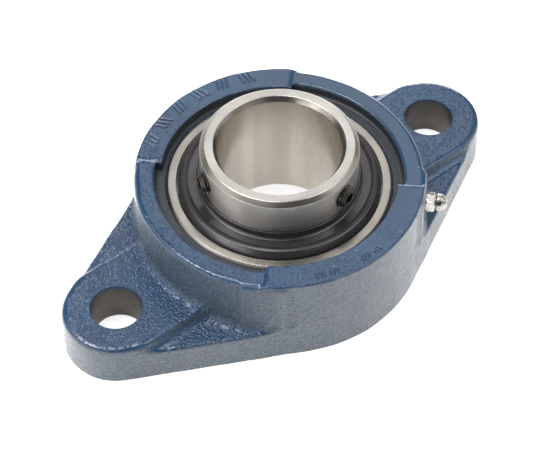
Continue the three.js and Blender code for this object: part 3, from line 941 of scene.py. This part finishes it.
def seal(side, core_material, lip_material):
    """The steel core snapped into the outer ring, and the rubber bonded round it with a wiping lip."""
    word = "front" if side > 0 else "back"
    core = [(31.2, 8.3, 0.1), (31.2, 9.0, 0.1), (36.4, 9.0, 0.4), (36.9, 9.2, 0.2), (38.2, 9.2, 0.1),
            (38.2, 8.5, 0.1), (36.9, 8.5, 0.2), (36.2, 8.3, 0.3)]
    lip = [(31.05, 8.0, 0.2), (31.05, 9.5, 0.2), (30.0, 9.6, 0.3), (28.78, 10.0, 0.1), (28.78, 9.6, 0.1),
           (29.6, 8.9, 0.3), (28.85, 8.2, 0.1), (29.2, 7.9, 0.15)]
    for maker, part, profile, material, slot in (("pressed", "core", core, core_material, "pressed_steel"),
                                                 ("moulded", "lip", lip, lip_material, "nitrile")):
        rows = [(r, CENTRE_Z + side * z) for r, z in rounded(profile, 3)]
        mesh = make_mesh(part, *turned(rows, 192, closed=True))
        node = f"{word}_seal_{part}"
        hand_over(f"{maker}_{node}", mesh, [material], "outer_ring", node)


def balls(material):
    points, faces = turned(ball_rows(BALL_R, 0, 33), 64)
    for i in range(BALLS):
        centre = spin([(PITCH_R, 0, CENTRE_Z)], 360 * i / BALLS)[0]
        mesh = make_mesh("ball", points + centre, faces)
        name = f"ball_{i + 1}"
        hand_over("polished_" + name, mesh, [material], name, name)


# ---- cage ----

def cage_outline():
    """Where the ribbon's middle runs over half a ball pitch: (distance along the pitch circle, height)."""
    sheet, pocket = 1.0, 6.5
    middle = pocket + sheet / 2
    flat = 0.15 + sheet / 2
    sweep = np.radians(np.linspace(90, 18, 13))
    path = [(middle * math.cos(a), middle * math.sin(a)) for a in sweep]
    foot = (path[-1][0] + 0.75, flat + 0.25)
    path += [((path[-1][0] + foot[0]) / 2 + 0.1, (path[-1][1] + foot[1]) / 2 - 0.1), foot]
    end = PITCH_R * math.pi / BALLS
    path += [(foot[0] + 0.45, flat), (end, flat)]
    return np.array(path)


def cage_half(side, material):
    """One pressed ribbon, arched over each ball and flat between them, with holes for the rivets."""
    half = cage_outline()
    path = np.concatenate([half[:0:-1] * (-1, 1), half[:-1]])
    along = np.gradient(path, axis=0)
    along /= np.linalg.norm(along, axis=1)[:, None]
    normal = np.stack([-along[:, 1], along[:, 0]], axis=1)
    section = [(-2.2, -0.5), (-2.2, 0.5), (-2.05, 0.5), (2.05, 0.5), (2.2, 0.35), (2.2, -0.35),
               (2.05, -0.5)]
    rings = []
    for ball in range(BALLS):
        for (s, h), (ns, nh) in zip(path, normal):
            ring = []
            for across, up in section:
                angle = 2 * math.pi * ball / BALLS + (s + ns * up) / PITCH_R
                radius = PITCH_R + across
                ring.append((radius * math.cos(angle), radius * math.sin(angle),
                             CENTRE_Z + side * max(h + nh * up, 0.15)))
            rings.append(ring)
    count, width = len(rings), len(section)
    points = np.array(rings).reshape(-1, 3)
    faces = []
    for i in range(count):
        here, after = i * width, (i + 1) % count * width
        for j in range(width):
            k = (j + 1) % width
            faces.append((here + j, here + k, after + k, after + j))
    mesh = make_mesh("ribbon", points, faces)
    points, faces = turned([(0, -3), (0.95, -3), (0.95, 3), (0, 3)], 16)
    holes = [(between_balls(points, i), faces) for i in range(BALLS)]
    name = "cage_front" if side > 0 else "cage_back"
    mesh = carve(mesh, [make_mesh("holes", *joined(holes))])
    hand_over("pressed_" + name, mesh, [material], "cage", name, 45)


def between_balls(points, number):
    """Points drawn about the origin, moved to the cage's flat part after that ball."""
    return spin(spin(points, shift=(PITCH_R, 0, CENTRE_Z)), 360 * (number + 0.5) / BALLS)


def rivets(material):
    head = [(1.6, 1.2, 0.1), (1.5, 1.55, 0.15), (0.9, 1.85, 0.3)]
    upper = rounded([(0.9, 1.2, 0), *head, (0, 1.9, 0)], 3)
    rows = [(0, -1.9)] + [(r, -z) for r, z in reversed(upper[:-1])] + upper[:-1] + [(0, 1.9)]
    points, faces = turned(rows, 24)
    for i in range(BALLS):
        mesh = make_mesh("rivet", between_balls(points, i), faces)
        name = f"cage_rivet_{i + 1}"
        hand_over("headed_" + name, mesh, [material], "cage", name)


# ---- screws, pin and nipple ----

def thread_rows(start, end, radius, pitch, depth, columns, chamfer):
    """Rows of a screw thread along its axis, with both ends chamfered."""
    angles = np.arange(columns) / columns
    rows = []
    for height in np.linspace(start, end, int((end - start) / pitch * 10) + 1):
        phase = (height / pitch - angles) % 1
        ridge = np.clip(2.4 * np.abs(phase - 0.5) - 0.1, 0, 1)
        limit = radius - chamfer + min(height - start, end - height)
        rows.append((np.minimum(radius - depth * ridge, limit), height))
    return rows


def set_screw(number, angle, material):
    """Cup-point socket set screw, standing a little proud of the inner ring."""
    columns = 72
    start = SCREW_POINT
    end = start + SCREW_LENGTH
    socket = hexagon(4.0, columns)
    rows = [(0, start + 1.0), (1.9, start + 0.1), (2.3, start)]
    rows += thread_rows(start, end, SCREW_R, 1.0, 0.55, columns, 1.1)
    rows += [(socket + 0.25, end), (socket, end - 0.25), (socket, end - 4.0)]
    rows += [(1.0, end - 4.4), (0, end - 4.7)]
    mesh = radial_mesh("screw", rows, columns, angle, SCREW_Z)
    name = f"set_screw_{number}"
    hand_over("socket_" + name, mesh, [material], name, name, 30)


def locating_pin(material):
    corners = [(0, 40.75, 0), (2.0, 40.75, 0.3), (2.0, 43.7, 0.45), (0, 43.7, 0)]
    mesh = radial_mesh("pin", rounded(corners, 5), 48, 0, CENTRE_Z)
    hand_over("ground_locating_pin", mesh, [material], "locating_pin", "locating_pin")


def nipple_body(material):
    """Threaded shank, chamfered hexagon, neck and ball-shaped head with a mouth for the gun."""
    columns = 72
    base = BOSS_FACE - 0.02
    neck = BOSS_FACE + 3.5
    tip = NIPPLE_TIP
    wrench = 7.0
    flats = hexagon(wrench, columns, 15)
    corner = wrench / math.sqrt(3)
    rows = [(1.25, 45.2), (2.2, 44.7)]
    rows += thread_rows(44.7, base - 0.3, 2.95, 0.9, 0.45, columns, 0.5)
    end = np.minimum(flats, corner - 0.75)
    chamfer = np.minimum(flats, corner - 0.35)
    rows += [(2.7, base - 0.25), (2.7, base), (end, base), (chamfer, base + 0.25), (flats, base + 0.55),
             (flats, neck - 0.55), (chamfer, neck - 0.25), (end, neck)]
    head = [(2.9, neck, 0), (2.55, neck + 0.1, 0), (2.55, neck + 0.3, 0.1), (3.27, neck + 0.8, 0.3),
            (3.27, neck + 2.4, 0.8), (1.9, tip - 0.3, 0.5), (1.25, tip, 0.15)]
    rows += rounded(head, 5)[:-4]
    rows += [(1.2, tip), (0.8, tip - 0.2), (0.75, tip - 0.75), (1.25, tip - NIPPLE_MOUTH)]
    mesh = radial_mesh("nipple", rows, columns, NIPPLE_ANGLE, NIPPLE_Z, closed=True)
    hand_over("plated_nipple_body", mesh, [material], "housing", "grease_nipple_body", 30)


def nipple_valve(ball_material, spring_material):
    """The check ball behind the mouth, and the spring that holds it there."""
    centre = NIPPLE_TIP - NIPPLE_MOUTH - 0.75
    mesh = radial_mesh("ball", ball_rows(CHECK_BALL_R, centre, 17), 32, NIPPLE_ANGLE, NIPPLE_Z)
    hand_over("polished_check_ball", mesh, [ball_material], "nipple_check_ball", "nipple_check_ball")
    turns, start = 5, 52.5
    length = centre - 1.1 - start
    ts = np.linspace(0, 1, turns * 24 + 1)
    angles = 2 * math.pi * turns * ts
    coil = np.stack([0.85 * np.cos(angles), 0.85 * np.sin(angles), start + length * ts], axis=1)
    points, faces = wire(coil, 0.16, 10)
    mesh = make_mesh("spring", radial(points, NIPPLE_ANGLE, NIPPLE_Z), faces)
    hand_over("coiled_nipple_spring", mesh, [spring_material], "housing", "nipple_spring")


def wire(path, radius, sides):
    """A round wire along a path, closed at both ends."""
    along = np.gradient(path, axis=0)
    along /= np.linalg.norm(along, axis=1)[:, None]
    side = np.cross(along, (0, 0, 1))
    side /= np.linalg.norm(side, axis=1)[:, None]
    up = np.cross(side, along)
    angles = 2 * math.pi * np.arange(sides) / sides
    rings = path[:, None] + radius * (np.cos(angles)[None, :, None] * side[:, None]
                                      + np.sin(angles)[None, :, None] * up[:, None])
    points = rings.reshape(-1, 3)
    faces = [tuple(range(sides)), tuple(range(len(points) - 1, len(points) - sides - 1, -1))]
    for i in range(len(path) - 1):
        for j in range(sides):
            k = (j + 1) % sides
            faces.append((i * sides + j, (i + 1) * sides + j, (i + 1) * sides + k, i * sides + k))
    return points, faces


# ---- studio ----

CAMERA_AZIMUTH = -38.5
CAMERA_ELEVATION = 50.412
CAMERA_TARGET = (-9.33, -6.28, 20.0)
CAMERA_DISTANCE = 657.23
CAMERA_LENS = 119.785


def camera():
    azimuth, elevation = math.radians(CAMERA_AZIMUTH), math.radians(CAMERA_ELEVATION)
    back = Vector((math.sin(azimuth) * math.cos(elevation), -math.cos(azimuth) * math.cos(elevation),
                   math.sin(elevation)))
    data = bpy.data.cameras.new("camera")
    data.lens = CAMERA_LENS
    data.sensor_width = 36.0
    data.clip_start = 0.01
    eye = bpy.data.objects.new("camera", data)
    eye.location = (Vector(CAMERA_TARGET) + back * CAMERA_DISTANCE) * MM
    eye.rotation_euler = back.to_track_quat("Z", "Y").to_euler()
    bpy.context.scene.collection.objects.link(eye)
    bpy.context.scene.camera = eye


def softbox(name, azimuth, elevation, width, height, radiance):
    """A rectangular light aimed at the object from a metre away, with the radiance that a reflection of it
    shows. Width and height are in metres."""
    a, e = math.radians(azimuth), math.radians(elevation)
    direction = Vector((math.cos(a) * math.cos(e), math.sin(a) * math.cos(e), math.sin(e)))
    data = bpy.data.lights.new(name, "AREA")
    data.shape = "RECTANGLE"
    data.size, data.size_y = width, height
    data.energy = radiance * math.pi * width * height
    lamp = bpy.data.objects.new(name, data)
    lamp.location = Vector((0, 0, 20 * MM)) + direction
    lamp.rotation_euler = direction.to_track_quat("Z", "Y").to_euler()
    bpy.context.scene.collection.objects.link(lamp)


SOFTBOXES = {
    "high_left": (136, 64, 0.34, 0.28, 12.5),
    "high_front_left": (-174, 64, 0.6, 0.45, 1.5),
    "high_right": (-38, 64, 0.5, 0.4, 3.6),
    "overhead": (100, 82, 0.3, 0.26, 8.0),
    "back": (51.5, 49, 0.5, 0.36, 1.55),
    "left": (142, 38, 0.7, 0.42, 1.5),
    "right": (-38, 38, 0.7, 0.42, 1.6),
    "right_back": (6, 38, 0.7, 0.42, 0.4),
    "low_back": (51.5, 13, 0.75, 0.4, 3.2),
    "low_left_back": (96, 13, 0.75, 0.4, 0.5),
    "low_left": (160, 13, 0.75, 0.4, 1.8),
    "low_front_left": (-174, 13, 0.6, 0.4, 3.4),
    "low_front_right": (-84, 13, 0.75, 0.4, 0.8),
    "low_right": (-30, 13, 0.75, 0.4, 1.1),
}


FLOOR_HALF = 3000
FLOOR_GAP = 0.2
WORLD_GLOW = 0.05


def studio(floor_material):
    corners = [(x * FLOOR_HALF, y * FLOOR_HALF, 0) for x, y in ((-1, -1), (1, -1), (1, 1), (-1, 1))]
    floor = place("floor", make_mesh("floor", corners, [(0, 1, 2, 3)]))
    floor.location.z = -FLOOR_GAP * MM
    floor.data.materials.append(floor_material)
    for name, settings in SOFTBOXES.items():
        softbox(name, *settings)
    world = bpy.data.worlds.new("studio")
    bpy.context.scene.world = world
    world.use_nodes = True
    background = world.node_tree.nodes["Background"]
    background.inputs["Color"].default_value = (1, 1, 1, 1)
    background.inputs["Strength"].default_value = WORLD_GLOW
    bpy.context.scene.view_settings.view_transform = "Standard"


# ---- the whole unit ----

camera()
bearing_steel = ground_steel("bearing_steel", BEARING_STEEL, 0.3, 0.2, 0.75)
pressed_steel = ground_steel("pressed_steel", SHEET_STEEL, 0.36, 0.2, 0.0)
plate = dark_plate()
rubber = nitrile()
oxide = black_oxide()

cast_housing([blue_paint(), bare_iron(), turned_iron()])
outer_ring(bearing_steel)
# The inner ring's end faces, bore, edges and side: one steel in lit and shaded copies, as painted light and
# shade.
inner_ring([ground_steel("ground_steel", FACE_STEEL, 0.29, 0.2, 0.6, contrast=0.2),
            ground_steel("bore_steel", BORE_STEEL, 0.3, 0.2, 0.6, contrast=0.5),
            ground_steel("shaded_edge_steel", SHADED_EDGE_STEEL, 0.34, 0.1, 0.4, contrast=0.3, stain=0.6),
            ground_steel("lit_side_steel", LIT_SIDE_STEEL, 0.34, 0.2, 0.72)])
for side in (1, -1):
    slinger(side, plate)
    seal(side, pressed_steel, rubber)
    cage_half(side, pressed_steel)
balls(bearing_steel)
rivets(pressed_steel)
for number, angle in enumerate(SCREW_ANGLES, start=1):
    set_screw(number, angle, oxide)
locating_pin(bearing_steel)
nipple_body(bright_zinc())
nipple_valve(bearing_steel, pressed_steel)
studio(floor_white())
